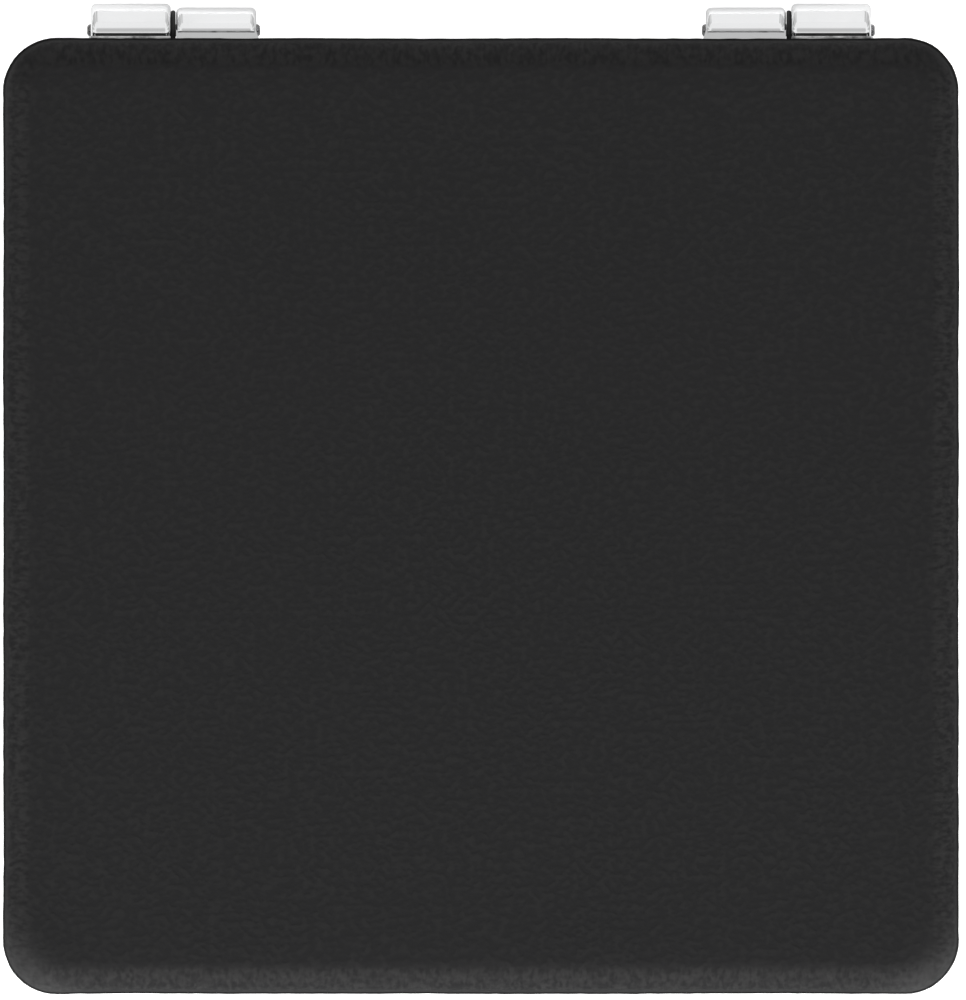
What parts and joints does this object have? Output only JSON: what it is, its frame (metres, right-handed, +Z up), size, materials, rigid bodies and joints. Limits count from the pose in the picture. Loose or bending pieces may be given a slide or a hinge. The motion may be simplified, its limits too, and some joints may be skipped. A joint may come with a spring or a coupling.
{
  "type": "compact mirror",
  "caption": "Square folding compact mirror: padded black leather covers on chrome frames, a glass mirror in each half, chrome knuckle hinges along the back edge.",
  "frame": {"origin": "centre of the padded face that the closed case lies on", "axes": "+Z up through the thickness, +Y towards the hinges, +X to the right of someone facing the opening edge"},
  "size_m": [0.062, 0.0643, 0.01],
  "materials": {
    "leather_black": "fine grain, satin",
    "chrome_plate": "bright plated",
    "mirror_glass": "polished, bevelled edge",
    "pin_steel": "drawn wire, rounded ends",
    "washer_nylon": "moulded, dull",
    "magnet_nickel": "nickel plated",
    "tape_white": "closed-cell foam tape",
    "foam_grey": "soft foam",
    "card_grey": "grey board",
    "adhesive_card": "adhesive-coated card"
  },
  "bodies": {
    "base": {"base_leather": "leather_black", "base_foam": "foam_grey", "base_board": "card_grey", "base_filler_sheet": "adhesive_card", "base_mirror": "mirror_glass", "base_mirror_tape": "tape_white", "base_magnet_left": "magnet_nickel", "base_magnet_right": "magnet_nickel", "base_frame": "chrome_plate", "hinge_pin_left": "pin_steel", "hinge_pin_right": "pin_steel", "hinge_washer_left": "washer_nylon", "hinge_washer_right": "washer_nylon"},
    "lid": {"lid_leather": "leather_black", "lid_foam": "foam_grey", "lid_board": "card_grey", "lid_filler_sheet": "adhesive_card", "lid_mirror": "mirror_glass", "lid_mirror_tape": "tape_white", "lid_magnet_left": "magnet_nickel", "lid_magnet_right": "magnet_nickel", "lid_frame": "chrome_plate"}
  },
  "joints": [
    {"name": "lid_hinge", "type": "hinge", "parent": "base", "child": "lid", "pos_m": [0, 0.0316, 0.005], "axis": [-1, 0, 0], "range_deg": [0, 180]}
  ]
}
